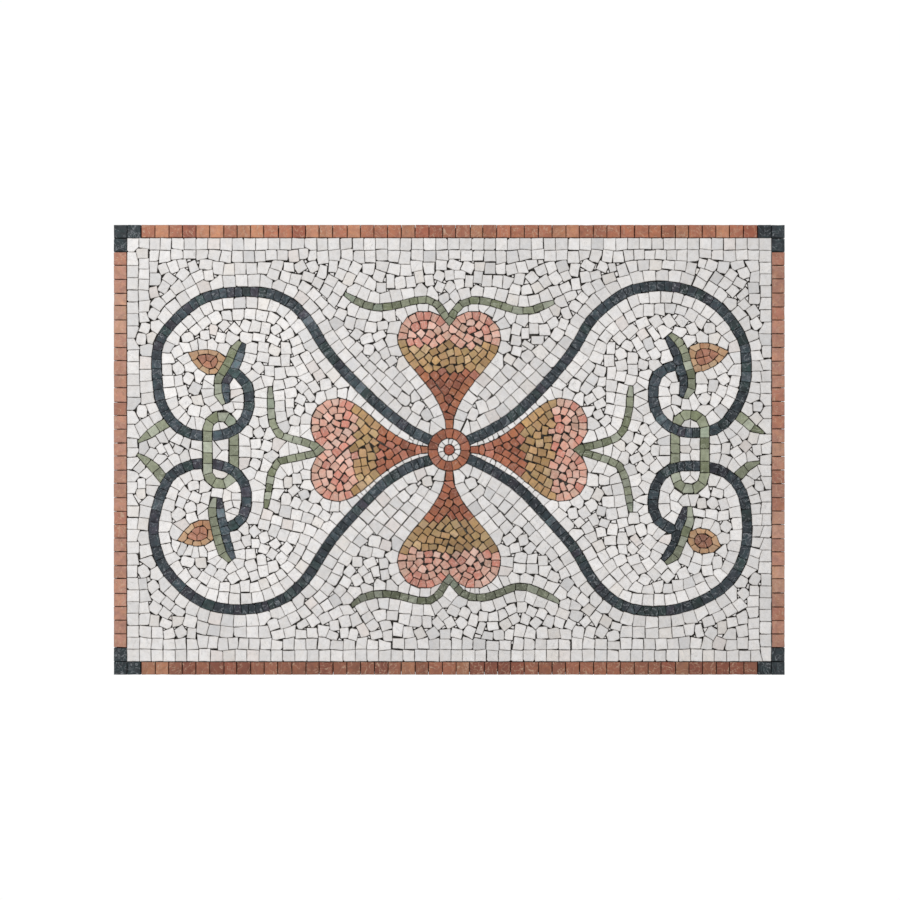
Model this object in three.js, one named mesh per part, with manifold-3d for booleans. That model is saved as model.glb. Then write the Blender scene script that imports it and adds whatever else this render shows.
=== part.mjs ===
// A mosaic panel of hand-cut marble tesserae, laid on a glass-fibre mesh and made to be glued to a wall.
// Tesserae of one stone that lie side by side are one solid; neighbouring stones keep an open joint.
// X runs along the width and Z up. The face looks towards -Y, and the origin is the centre of the back.

import * as THREE from "three";
import { mergeVertices } from "three/addons/utils/BufferGeometryUtils.js";
import Module from "manifold-3d";

const wasm = await Module();
wasm.setup();

// Driving dimensions, in millimetres
const PANEL_WIDTH = 600;
const PANEL_HEIGHT = 402.4;
const STONE_DEPTH = 10;
const BACKING_DEPTH = 1.2;
const BACKING_INSET = 1.5;
const JOINT = 0.6;
const BORDER_BREADTH = 11.8;
const BORDER_PITCH = 12.2;
const CORNER_STONES = 2;
const GROOVE_DEPTH = 3;
const GROOVE_MOUTH = 0.9;
const CHORD_LENGTH = 10.5;
const BUD_CHORD = 9;
const ROUND_CHORD = 6;
const FEWEST_SIDES = 12;
const LEAST_MITRE = 0.5;
const SCROLL_BREADTH = 8.3;
const LINK_BREADTH = 8;
const TENDRIL_BREADTH = 5.8;
const SEPAL_BREADTH = 6.8;
const LEAF_BREADTH = 8;
const TIP_LENGTH = 14;
const TIP_SHARE = 0.2;
const BLUNT_TIP_LENGTH = 8;
const BLUNT_TIP_SHARE = 0.5;
const BUD_CORE_SHARE = 0.56;
const ROUNDEL_RADIUS = 18.8;
const EYE_RADIUS = 10.1;
const CENTRE_STONE_RADIUS = 5.2;

// The hearts are drawn by shares: how far out the lobes' centres stand, of the ornament's half height, and
// then the lobes' radius, the neck's breadth, its start and the flank's hollow, of that reach.
const HEART_REACH_SHARE = 0.68;
const LOBE_RADIUS_SHARE = 0.243;
const LOBE_OFFSET_SHARE = 0.905;
const LOBE_SHOULDER_ANGLE = 118;
const NECK_BREADTH_SHARE = 0.048;
const NECK_START_SHARE = 0.15;
const HOLLOW_REACH_SHARE = 0.46;
const HOLLOW_NECK_SHARE = 0.2;

// How near the ornament comes to the border, at the sides and at the top and bottom.
const SIDE_MARGIN = 6.7;
const END_MARGIN = 42.9;

const halfWidth = PANEL_WIDTH / 2;
const halfHeight = PANEL_HEIGHT / 2;
const columns = Math.round(PANEL_WIDTH / BORDER_PITCH);
const rows = Math.round(PANEL_HEIGHT / BORDER_PITCH);
const pitchX = PANEL_WIDTH / columns;
const pitchZ = PANEL_HEIGHT / rows;
const courseBreadth = BORDER_BREADTH - JOINT / 2;
const fieldWidth = PANEL_WIDTH - 2 * BORDER_BREADTH;
const fieldHeight = PANEL_HEIGHT - 2 * BORDER_BREADTH;
const stoneBack = -BACKING_DEPTH;
const stoneFace = stoneBack - STONE_DEPTH;

// How far a cutting solid runs past the stones, so that no faces coincide.
const CLEAR = 1;

// Each corner of the ornament, in distances from the roundel's centre outwards and up or down.
// The scroll starts at the roundel, swings round its loop and ends in the dark one of two sepals.
// The line of the sepals is the joint between them, and runs down the panel.
const cornerDrawings = [
  {
    name: "top_left",
    side: [-1, 1],
    scroll: [
      [9, 4.5], [18, 9], [34.5, 17.5], [58, 35.5], [86.5, 62.5], [109.5, 89], [126.5, 116], [142.5, 131.5],
      [162, 140], [191.5, 141], [218.5, 136], [242.5, 118.5], [259.5, 95.5], [261.5, 69.5], [257, 40],
      [242.5, 20], [223, 12.5], [200.5, 14], [185.5, 23], [178.5, 40], [181.5, 59.5], [196, 71.5],
    ],
    sepals: [[185.5, 96], [191, 85], [194.5, 76], [203, 62], [204, 55], [200, 41.5]],
    bud: [
      [233, 86.5], [219.5, 89.5], [206.5, 87.5], [199.5, 80.5],
      [204, 71], [210.5, 67], [220, 69.5], [228, 77.5],
    ],
    leaf: [[250, 25.5], [260.5, 19.5], [267.5, 14.5], [278.5, 7]],
  },
  {
    name: "top_right",
    side: [1, 1],
    scroll: [
      [9, 4.5], [18.5, 9], [36.5, 17.5], [59, 32], [85.5, 58], [110.5, 88.5], [126, 115], [144, 131.5],
      [163.5, 143], [193, 146.5], [220, 140.5], [244, 125], [262, 99], [266, 71.5], [260.5, 44.5],
      [244, 21.5], [221.5, 15], [201, 18.5], [186.5, 31.5], [182, 49], [185, 64], [192, 72.5], [206, 76],
    ],
    sepals: [[196, 102], [206, 89.5], [209, 77.5], [214, 62], [212.5, 54], [209.5, 47]],
    bud: [[250, 87.5], [235, 94.5], [222.5, 95], [213.5, 88.5], [217, 71], [228, 71], [240.5, 77.5]],
    leaf: [[254, 34], [264.5, 26], [272.5, 18.5], [281.5, 15]],
  },
  {
    name: "bottom_left",
    side: [-1, -1],
    scroll: [
      [9, 4.5], [17, 9], [35, 15], [60, 31.5], [88.5, 61], [108.5, 85], [126.5, 113.5], [147, 132.5],
      [173.5, 142], [205, 141.5], [229, 131.5], [253.5, 107.5], [264, 79], [262, 54], [250.5, 25],
      [232, 14], [212, 12.5], [194, 18], [183.5, 29.5], [181, 47.5], [187, 63.5], [202, 71],
    ],
    sepals: [[207.5, 43], [208.5, 56], [206.5, 65], [203, 80], [200.5, 89], [194.5, 98.5]],
    bud: [[242.5, 80.5], [235.5, 71], [225.5, 64], [212, 64.5], [211, 80.5], [223, 86], [233.5, 84.5]],
    leaf: [[252, 31], [262, 18], [268.5, 11.5], [279, 4]],
  },
  {
    name: "bottom_right",
    side: [1, -1],
    scroll: [
      [9, 4.5], [18.5, 8.5], [41, 20], [63.5, 35.5], [90, 63], [112.5, 89.5], [128.5, 116.5], [148.5, 136],
      [170.5, 143.5], [197.5, 143.5], [224.5, 135.5], [249.5, 119], [263.5, 94], [266.5, 67], [261, 36],
      [244, 19], [221.5, 14.5], [200, 16.5], [186.5, 28], [182, 46.5], [186.5, 63], [204.5, 73.5],
    ],
    sepals: [[213, 51], [213.5, 58], [208, 71.5], [205, 80.5], [204, 87.5], [192.5, 100]],
    bud: [[242, 86], [237.5, 75.5], [224.5, 70], [214.5, 74.5], [214.5, 86], [224.5, 92.5], [236, 91.5]],
    leaf: [[254, 29], [263.5, 18], [271, 12.5], [278, 11]],
  },
];

// Two arms of each tendril, from the tip to the heart's notch, as distances across the heart and
// out from its notch. The hand is 1 for the heart's left, seen from the roundel, and -1 for its right.
const tendrilDrawings = {
  top: [
    {
      hand: 1,
      arm: [[93, 29.1], [80, 21.6], [63.5, 17.1], [44, 20.1], [26, 24.1], [12, 21.6], [-1, 2.1]],
    },
    {
      hand: -1,
      arm: [[93.5, 22.1], [79.5, 17.1], [63.5, 14.1], [36.5, 22.1], [18.5, 23.6], [6, 16.1], [0, 2.1]],
    },
  ],
  bottom: [
    { hand: -1, arm: [[87, 29.1], [74.5, 21.1], [53, 19.1], [26, 25.1], [11, 21.6], [-1, 1.1]] },
    { hand: 1, arm: [[98, 26.1], [79.5, 16.6], [61.5, 12.1], [40, 20.1], [23, 22.6], [8, 15.6], [-1, 1.1]] },
  ],
  left: [
    { hand: -1, arm: [[56, 50.1], [26.5, 48.6], [13, 41.6], [8, 23.6], [0, 0.1]] },
    { hand: 1, arm: [[52, 54.1], [27, 50.1], [11.5, 44.1], [6.5, 23.6], [0, 0.1]] },
  ],
  right: [
    { hand: 1, arm: [[57, 52.6], [31, 50.1], [13, 42.6], [5.5, 25.1], [0, 1.1]] },
    { hand: -1, arm: [[55.5, 52.6], [33.5, 49.1], [14.5, 42.6], [7, 25.1], [0, 1.1]] },
  ],
};

// How far out the rust and then the ochre stones of each heart go, and how far the lobe's round
// carries on into the flank, all as shares of the heart's reach.
const heartDrawings = [
  { name: "top", turn: 0, rustShare: 0.718, ochreShare: 0.944, fullness: 0.2 },
  { name: "right", turn: -Math.PI / 2, rustShare: 0.668, ochreShare: 0.929, fullness: 0.2 },
  { name: "bottom", turn: Math.PI, rustShare: 0.638, ochreShare: 0.909, fullness: 0.26 },
  { name: "left", turn: Math.PI / 2, rustShare: 0.653, ochreShare: 0.868, fullness: 0.2 },
];

// One leg of each chain link lies over both scrolls, and the other under them.
const linkDrawings = [
  { name: "left", centre: [-204.5, -0.3], span: 31.5, length: 69.2, overSide: -1 },
  { name: "right", centre: [215.2, -1.7], span: 34.6, length: 75.6, overSide: 1 },
];

// The ornament stretches with the panel until it fills the field up to its margins.
const stretchX = (fieldWidth / 2 - SIDE_MARGIN) / drawnReach(0);
const stretchZ = (fieldHeight / 2 - END_MARGIN) / drawnReach(1);

const heartReach = HEART_REACH_SHARE * drawnReach(1);
const lobeRadius = LOBE_RADIUS_SHARE * heartReach;
const lobeOffset = LOBE_OFFSET_SHARE * lobeRadius;
const neckBreadth = NECK_BREADTH_SHARE * heartReach;
const notchReach = heartReach + Math.sqrt(lobeRadius ** 2 - lobeOffset ** 2);

const finishes = {
  mesh: surface("#c9c5b8", 0.9),
  white: surface("#dedad5", 0.55),
  dark: surface("#3f464d", 0.4),
  rust: surface("#a86a50", 0.55),
  ochre: surface("#a88661", 0.6),
  pink: surface("#c99583", 0.6),
  green: surface("#7f8668", 0.6),
  bud: surface("#b18c67", 0.6),
};

function surface(color, roughness) {
  return { color, roughness, metalness: 0 };
}

// How far the corners of the ornament are drawn from the centre, along the width (0) or the height (1).
function drawnReach(axis) {
  const points = cornerDrawings.flatMap(({ scroll, leaf }) => [...scroll, ...leaf]);
  return Math.max(...points.map((point) => point[axis]));
}

function drawn(x, z) {
  return new THREE.Vector2(x * stretchX, z * stretchZ);
}

function drawnIn(side, points) {
  return points.map(([x, z]) => drawn(side[0] * x, side[1] * z));
}

// A closed solid from a flat outline, from one depth to another.
function slab(outline, back, face) {
  const geometry = new THREE.ExtrudeGeometry(new THREE.Shape(outline), {
    depth: back - face,
    bevelEnabled: false,
  });
  geometry.rotateX(Math.PI / 2);
  geometry.translate(0, back, 0);
  return solidFrom(geometry);
}

function solidFrom(geometry) {
  const bare = geometry.clone();
  bare.deleteAttribute("normal");
  bare.deleteAttribute("uv");
  const merged = mergeVertices(bare);
  const vertProperties = new Float32Array(merged.attributes.position.array);
  const triVerts = new Uint32Array(merged.index.array);
  return new wasm.Manifold(new wasm.Mesh({ numProp: 3, vertProperties, triVerts }));
}

function stoneSlab(outline) {
  return slab(outline, stoneBack, stoneFace);
}

function cutter(outline) {
  return slab(outline, stoneBack + CLEAR, stoneFace - CLEAR);
}

// Cuts a groove's depth into the face only.
function groove(outline) {
  return slab(outline, stoneFace + GROOVE_DEPTH, stoneFace - CLEAR);
}

function joined(solids) {
  return solids.reduce((whole, solid) => whole.add(solid));
}

// The separate bodies of a solid, the largest first.
function bodiesOf(solid) {
  return solid.decompose().sort((a, b) => b.volume() - a.volume());
}

function rectangle(x0, z0, x1, z1) {
  return [
    new THREE.Vector2(x0, z0),
    new THREE.Vector2(x1, z0),
    new THREE.Vector2(x1, z1),
    new THREE.Vector2(x0, z1),
  ];
}

function rectangleBetween(a, b) {
  return rectangle(Math.min(a.x, b.x), Math.min(a.y, b.y), Math.max(a.x, b.x), Math.max(a.y, b.y));
}

function circle(radius) {
  const sides = Math.max(FEWEST_SIDES, Math.round((2 * Math.PI * radius) / ROUND_CHORD));
  const points = [];
  for (let i = 0; i < sides; i += 1) {
    const angle = (2 * Math.PI * i) / sides;
    points.push(new THREE.Vector2(radius * Math.cos(angle), radius * Math.sin(angle)));
  }
  return points;
}

// An outline moved outwards by a distance, or inwards by a negative one.
function grown(outline, distance) {
  const outwards = THREE.ShapeUtils.isClockWise(outline) ? -distance : distance;
  return outline.map((point, i) => {
    const before = outline[(i + outline.length - 1) % outline.length];
    const after = outline[(i + 1) % outline.length];
    const sideIn = point.clone().sub(before).normalize();
    const sideOut = after.clone().sub(point).normalize();
    const mitre = new THREE.Vector2(sideIn.y + sideOut.y, -sideIn.x - sideOut.x).normalize();
    const lean = Math.max(LEAST_MITRE, mitre.x * sideIn.y - mitre.y * sideIn.x);
    return point.clone().addScaledVector(mitre, outwards / lean);
  });
}

// A band of tesserae along a smooth line, with a corner at each tessera's end.
// The shape says how wide it is along its length, as a share of its full breadth.
function band(points, breadth, shape = full, growth = 0) {
  const line = new THREE.SplineCurve(points);
  const length = line.getLength();
  const steps = Math.max(3, Math.round(length / CHORD_LENGTH));
  const left = [];
  const right = [];
  for (let i = 0; i <= steps; i += 1) {
    const share = i / steps;
    const along = line.getTangentAt(share);
    const across = new THREE.Vector2(-along.y, along.x);
    const half = (breadth / 2) * shape(share * length, length) + growth;
    const overrun = growth * (Number(i === steps) - Number(i === 0));
    const centre = line.getPointAt(share).addScaledVector(along, overrun);
    left.push(centre.clone().addScaledVector(across, half));
    right.push(centre.clone().addScaledVector(across, -half));
  }
  return left.concat(right.reverse());
}

// A strip of tesserae that lies against one hand of a joint line, 1 for the left and -1 for the right.
function strip(points, breadth, hand, growth = 0) {
  const line = new THREE.SplineCurve(points);
  const length = line.getLength();
  const steps = Math.round(length / CHORD_LENGTH);
  const inner = [];
  const outer = [];
  for (let i = 0; i <= steps; i += 1) {
    const share = i / steps;
    const along = line.getTangentAt(share);
    const across = new THREE.Vector2(-along.y, along.x).multiplyScalar(hand);
    const overrun = growth * (Number(i === steps) - Number(i === 0));
    const point = line.getPointAt(share).addScaledVector(along, overrun);
    const reach = breadth * bluntAtBoth(share * length, length);
    inner.push(point.clone().addScaledVector(across, JOINT / 2 - growth));
    outer.push(point.clone().addScaledVector(across, JOINT / 2 + reach + growth));
  }
  return inner.concat(outer.reverse());
}

function full() {
  return 1;
}

function pointedAtEnd(distance, length) {
  return Math.min(1, TIP_SHARE + ((1 - TIP_SHARE) * (length - distance)) / TIP_LENGTH);
}

function bluntAtStart(distance) {
  return Math.min(1, BLUNT_TIP_SHARE + ((1 - BLUNT_TIP_SHARE) * distance) / BLUNT_TIP_LENGTH);
}

function bluntAtBoth(distance, length) {
  return Math.min(bluntAtStart(distance), bluntAtStart(length - distance));
}

// A smooth closed outline with a sharp tip at its first point.
function budOutline(points) {
  const line = new THREE.SplineCurve([...points, points[0]]);
  const steps = Math.round(line.getLength() / BUD_CHORD);
  return line.getSpacedPoints(steps).slice(0, -1);
}

function shrunkTowardsMiddle(outline, share) {
  const middle = outline.reduce((sum, point) => sum.add(point), new THREE.Vector2());
  middle.divideScalar(outline.length);
  return outline.map((point) => middle.clone().lerp(point, share));
}

// Half of a heart that points at the origin: a round lobe, then a hollow curve down to the neck.
function heartSide(fullness) {
  const notchAngle = -Math.acos((notchReach - heartReach) / lobeRadius);
  const shoulderAngle = THREE.MathUtils.degToRad(LOBE_SHOULDER_ANGLE);
  const tangent = new THREE.Vector2(-Math.sin(shoulderAngle), Math.cos(shoulderAngle));
  const lobeSteps = Math.round((lobeRadius * (shoulderAngle - notchAngle)) / CHORD_LENGTH);
  const lobe = [];
  for (let i = 0; i < lobeSteps; i += 1) {
    lobe.push(lobePoint(THREE.MathUtils.lerp(notchAngle, shoulderAngle, i / lobeSteps)));
  }
  const shoulder = lobePoint(shoulderAngle);
  const flank = new THREE.CubicBezierCurve(
    shoulder,
    shoulder.clone().addScaledVector(tangent, fullness * heartReach),
    new THREE.Vector2(heartReach * HOLLOW_REACH_SHARE, neckBreadth * HOLLOW_NECK_SHARE),
    new THREE.Vector2(heartReach * NECK_START_SHARE, neckBreadth / 2),
  );
  return lobe.concat(flank.getSpacedPoints(Math.round(flank.getLength() / CHORD_LENGTH)));
}

function lobePoint(angle) {
  return new THREE.Vector2(
    heartReach + lobeRadius * Math.cos(angle),
    lobeOffset + lobeRadius * Math.sin(angle),
  );
}

// Turns distances along and across a heart into the panel's own width and height.
function heartPoint(turn, along, across) {
  const point = new THREE.Vector2(-across, along).rotateAround(new THREE.Vector2(), turn);
  return drawn(point.x, point.y);
}

function heartOutline({ turn, fullness }) {
  const side = heartSide(fullness);
  const left = side.map((point) => heartPoint(turn, point.x, point.y));
  const right = side.slice(1).map((point) => heartPoint(turn, point.x, -point.y));
  return left.concat(right.reverse());
}

// A slice across a heart, which keeps half a joint to its neighbours.
function heartSlice(turn, from, to) {
  const wide = lobeOffset + 2 * lobeRadius;
  const halfJoint = new THREE.Vector2(0, JOINT / 2).rotateAround(new THREE.Vector2(), turn);
  return [
    heartPoint(turn, from, -wide).add(halfJoint),
    heartPoint(turn, to, -wide).sub(halfJoint),
    heartPoint(turn, to, wide).sub(halfJoint),
    heartPoint(turn, from, wide).add(halfJoint),
  ];
}

// The outline of a chain link: two straight sides and two round ends.
function linkOutline(drawing, inset) {
  const centre = drawn(...drawing.centre);
  const radii = drawn(drawing.span / 2, drawing.span / 2).subScalar(inset);
  const straight = drawn(0, (drawing.length - drawing.span) / 2).y;
  const steps = Math.round((Math.PI * drawing.span) / 2 / CHORD_LENGTH);
  const points = [];
  for (const end of [1, -1]) {
    for (let i = 0; i <= steps; i += 1) {
      const angle = (Math.PI * i) / steps;
      points.push(new THREE.Vector2(
        centre.x + end * radii.x * Math.cos(angle),
        centre.y + end * (straight + radii.y * Math.sin(angle)),
      ));
    }
  }
  return points;
}

// The room that a link takes, with a joint on both sides of it.
function linkRing(drawing, growth) {
  const outer = cutter(linkOutline(drawing, -growth));
  return outer.subtract(cutter(linkOutline(drawing, LINK_BREADTH + growth)));
}

// Everything to one side of a link's middle.
function linkHalf(drawing, side) {
  const centre = drawn(...drawing.centre);
  const reach = drawn(side * drawing.span, drawing.length);
  return cutter(rectangleBetween(
    new THREE.Vector2(centre.x, centre.y - reach.y),
    new THREE.Vector2(centre.x + reach.x, centre.y + reach.y),
  ));
}

// A straight course of the border, drawn as its long section with a groove at each joint.
function borderCourse(count, pitch) {
  const length = count * pitch - JOINT;
  const mouth = GROOVE_MOUTH / 2;
  const section = [
    new THREE.Vector2(0, stoneBack),
    new THREE.Vector2(length, stoneBack),
    new THREE.Vector2(length, stoneFace),
  ];
  for (let i = count - 1; i > 0; i -= 1) {
    const joint = i * pitch - JOINT / 2;
    section.push(new THREE.Vector2(joint + mouth, stoneFace));
    section.push(new THREE.Vector2(joint, stoneFace + GROOVE_DEPTH));
    section.push(new THREE.Vector2(joint - mouth, stoneFace));
  }
  section.push(new THREE.Vector2(0, stoneFace));
  return new THREE.ExtrudeGeometry(new THREE.Shape(section), { depth: courseBreadth, bevelEnabled: false });
}

const panel = new THREE.Group();

function addMesh(name, geometry, finish) {
  const mesh = new THREE.Mesh(geometry, new THREE.MeshStandardMaterial(finish));
  mesh.name = name;
  panel.add(mesh);
  return mesh;
}

function addSolid(name, solid, finish) {
  const { vertProperties, triVerts } = solid.getMesh();
  const geometry = new THREE.BufferGeometry();
  geometry.setAttribute("position", new THREE.BufferAttribute(new Float32Array(vertProperties), 3));
  geometry.setIndex(new THREE.BufferAttribute(new Uint32Array(triVerts), 1));
  geometry.computeVertexNormals();
  return addMesh(name, geometry, finish);
}

// The woven mesh with its adhesive, which carries every stone.
function addBacking() {
  const width = PANEL_WIDTH - 2 * BACKING_INSET;
  const height = PANEL_HEIGHT - 2 * BACKING_INSET;
  const sheet = addMesh("mesh_backing", new THREE.BoxGeometry(width, BACKING_DEPTH, height), finishes.mesh);
  sheet.position.y = -BACKING_DEPTH / 2;
}

// A course of rust stones along each side, between the dark corners.
function addBorder() {
  for (const [name, base] of [["border_top", halfHeight - courseBreadth], ["border_bottom", -halfHeight]]) {
    const course = addMesh(name, borderCourse(columns - 2 * CORNER_STONES, pitchX), finishes.rust);
    course.position.set(-halfWidth + CORNER_STONES * pitchX + JOINT / 2, 0, base);
  }
  for (const [name, base] of [["border_left", -halfWidth + courseBreadth], ["border_right", halfWidth]]) {
    const course = addMesh(name, borderCourse(rows - 2 * CORNER_STONES, pitchZ), finishes.rust);
    course.geometry.rotateY(-Math.PI / 2);
    course.position.set(base, 0, -halfHeight + CORNER_STONES * pitchZ + JOINT / 2);
  }
}

// Three dark stones in an L, with a groove at both joints.
function addCorner(name, side) {
  const corner = (x, z) => new THREE.Vector2(side[0] * (halfWidth - x), side[1] * (halfHeight - z));
  const lengthX = CORNER_STONES * pitchX - JOINT / 2;
  const lengthZ = CORNER_STONES * pitchZ - JOINT / 2;
  const elbow = stoneSlab([
    corner(0, 0),
    corner(lengthX, 0),
    corner(lengthX, courseBreadth),
    corner(courseBreadth, courseBreadth),
    corner(courseBreadth, lengthZ),
    corner(0, lengthZ),
  ]);
  const mouth = GROOVE_MOUTH / 2;
  const alongX = rectangleBetween(corner(pitchX - mouth, -CLEAR), corner(pitchX + mouth, BORDER_BREADTH));
  const alongZ = rectangleBetween(corner(-CLEAR, pitchZ - mouth), corner(BORDER_BREADTH, pitchZ + mouth));
  addSolid(`corner_${name}`, elbow.subtract(groove(alongX)).subtract(groove(alongZ)), finishes.dark);
}

// A scroll in two lengths, because a leg of the chain link crosses over it.
function scrollParts(drawing) {
  const line = drawnIn(drawing.side, drawing.scroll);
  const sepals = drawnIn(drawing.side, drawing.sepals);
  const inwards = -drawing.side[0];
  const whole = stoneSlab(band(line, SCROLL_BREADTH));
  const reach = cutter(band(line, SCROLL_BREADTH, full, JOINT));
  const darkSepal = stoneSlab(strip(sepals, SEPAL_BREADTH, inwards));
  const sepalReach = cutter(strip(sepals, SEPAL_BREADTH, inwards, JOINT));
  const link = linkDrawings.find((candidate) => candidate.overSide === drawing.side[0]);
  const overLeg = linkRing(link, JOINT).intersect(linkHalf(link, link.overSide));
  const lengths = bodiesOf(whole.add(darkSepal).subtract(roundelReach).subtract(overLeg));
  return { lengths, reach: reach.add(sepalReach) };
}

function addCornerOrnament(drawing) {
  const { name, side } = drawing;
  const scroll = scrollParts(drawing);
  addSolid(`scroll_${name}`, scroll.lengths[0], finishes.dark);
  addSolid(`scroll_end_${name}`, scroll.lengths[1], finishes.dark);

  const sepals = drawnIn(side, drawing.sepals);
  const sepal = stoneSlab(strip(sepals, SEPAL_BREADTH, side[0]));
  const sepalReach = cutter(strip(sepals, SEPAL_BREADTH, side[0], JOINT));
  addSolid(`sepal_${name}`, bodiesOf(sepal.subtract(scroll.reach))[0], finishes.green);

  const budEdge = budOutline(drawnIn(side, drawing.bud));
  const coreEdge = shrunkTowardsMiddle(budEdge, BUD_CORE_SHARE);
  const budReach = cutter(grown(budEdge, JOINT));
  const budBody = stoneSlab(budEdge).subtract(scroll.reach).subtract(sepalReach);
  addSolid(`bud_${name}`, bodiesOf(budBody.subtract(cutter(grown(coreEdge, JOINT))))[0], finishes.bud);
  addSolid(`bud_core_${name}`, stoneSlab(coreEdge), finishes.rust);

  const leafLine = drawnIn(side, drawing.leaf);
  const leaf = stoneSlab(band(leafLine, LEAF_BREADTH, pointedAtEnd));
  const leafReach = cutter(band(leafLine, LEAF_BREADTH, pointedAtEnd, JOINT));
  addSolid(`leaf_${name}`, bodiesOf(leaf.subtract(scroll.reach))[0], finishes.green);

  return { scroll: scroll.reach, others: [sepalReach, budReach, leafReach] };
}

// A link is whole on the side that lies over the scrolls, and broken by both on the other side.
function addLink(drawing, scrollReaches) {
  const under = joined(scrollReaches).intersect(linkHalf(drawing, -drawing.overSide));
  const ring = stoneSlab(linkOutline(drawing, 0)).subtract(cutter(linkOutline(drawing, LINK_BREADTH)));
  const [outer, middle] = bodiesOf(ring.subtract(under));
  addSolid(`link_${drawing.name}`, outer, finishes.green);
  addSolid(`link_middle_${drawing.name}`, middle, finishes.green);
  return linkRing(drawing, JOINT);
}

// Rust stones at the neck, ochre ones across the middle and pink ones in the lobes.
function addHeart(drawing) {
  const outline = heartOutline(drawing);
  const whole = stoneSlab(outline).subtract(roundelReach);
  const rustReach = heartReach * drawing.rustShare;
  const ochreReach = heartReach * drawing.ochreShare;
  const zones = [
    ["rust", 0, rustReach],
    ["ochre", rustReach, ochreReach],
    ["pink", ochreReach, heartReach + 2 * lobeRadius],
  ];
  for (const [zone, from, to] of zones) {
    const slice = cutter(heartSlice(drawing.turn, from, to));
    addSolid(`heart_${drawing.name}_${zone}`, bodiesOf(whole.intersect(slice))[0], finishes[zone]);
  }
  return cutter(grown(outline, JOINT));
}

// Two arms with blunt tips that meet in the notch of a heart.
function addTendril({ name, turn }, heartRoom) {
  const arms = tendrilDrawings[name].map(({ hand, arm }) => (
    arm.map(([across, beyond]) => heartPoint(turn, notchReach + beyond, hand * across))
  ));
  const solid = joined(arms.map((line) => stoneSlab(band(line, TENDRIL_BREADTH, bluntAtStart))));
  addSolid(`tendril_${name}`, bodiesOf(solid.subtract(heartRoom))[0], finishes.green);
  return joined(arms.map((line) => cutter(band(line, TENDRIL_BREADTH, bluntAtStart, JOINT))));
}

// A ring of rust stones round a ring of white ones and one round stone, which a groove parts.
function addRoundel() {
  const ring = stoneSlab(circle(ROUNDEL_RADIUS)).subtract(cutter(circle(EYE_RADIUS + JOINT)));
  addSolid("roundel_ring", ring, finishes.rust);
  const inner = cutter(circle(CENTRE_STONE_RADIUS - JOINT / 2));
  const roundGroove = groove(circle(CENTRE_STONE_RADIUS + JOINT / 2)).subtract(inner);
  addSolid("roundel_eye", stoneSlab(circle(EYE_RADIUS)).subtract(roundGroove), finishes.white);
}

// The white stones around the ornament, in the regions that the scrolls and links part.
function addField(reaches) {
  const insetX = halfWidth - BORDER_BREADTH - JOINT / 2;
  const insetZ = halfHeight - BORDER_BREADTH - JOINT / 2;
  const block = stoneSlab(rectangle(-insetX, -insetZ, insetX, insetZ));
  const regions = bodiesOf(reaches.reduce((rest, reach) => rest.subtract(reach), block));
  const [around, ...inner] = regions;
  const [first, second] = inner.splice(0, 2);
  const ordered = middleOf(first).x < middleOf(second).x ? [first, second] : [second, first];
  addSolid("field_around", around, finishes.white);
  addSolid("field_left", ordered[0], finishes.white);
  addSolid("field_right", ordered[1], finishes.white);
  for (const link of linkDrawings) {
    const centre = drawn(...link.centre);
    const infill = inner.find((region) => middleOf(region).distanceTo(centre) < LINK_BREADTH);
    addSolid(`infill_${link.name}_link`, infill, finishes.white);
  }
}

function middleOf(solid) {
  const box = solid.boundingBox();
  return new THREE.Vector2((box.min[0] + box.max[0]) / 2, (box.min[2] + box.max[2]) / 2);
}

const roundelReach = cutter(circle(ROUNDEL_RADIUS + JOINT));

addBacking();
addBorder();
for (const { name, side } of cornerDrawings) {
  addCorner(name, side);
}
const cornerReaches = cornerDrawings.map(addCornerOrnament);
const scrollReaches = cornerReaches.map(({ scroll }) => scroll);
const linkReaches = linkDrawings.map((drawing) => addLink(drawing, scrollReaches));
const heartRooms = heartDrawings.map(addHeart);
const tendrilReaches = heartDrawings.map((drawing, i) => addTendril(drawing, heartRooms[i]));
addRoundel();
addField([
  roundelReach,
  ...scrollReaches,
  ...cornerReaches.flatMap(({ others }) => others),
  ...linkReaches,
  ...heartRooms,
  ...tendrilReaches,
]);

export default panel;
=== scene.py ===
import math

import bpy
import numpy as np
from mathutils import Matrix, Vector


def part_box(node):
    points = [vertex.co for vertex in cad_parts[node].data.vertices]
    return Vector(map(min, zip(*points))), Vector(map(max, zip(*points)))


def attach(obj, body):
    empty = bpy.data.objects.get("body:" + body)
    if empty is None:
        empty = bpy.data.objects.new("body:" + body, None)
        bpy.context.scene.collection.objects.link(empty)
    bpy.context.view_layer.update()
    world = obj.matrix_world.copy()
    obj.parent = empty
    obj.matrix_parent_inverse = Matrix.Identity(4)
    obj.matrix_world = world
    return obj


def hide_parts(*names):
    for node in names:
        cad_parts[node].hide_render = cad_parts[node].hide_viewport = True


# The panel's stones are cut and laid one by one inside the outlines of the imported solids.
# Lengths are in millimetres up to the point where a mesh is built, and a flat place is (x, z).
MM = 0.001
RASTER = 0.5
FLAT_WITHIN = 0.01
SEED = 20

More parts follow.
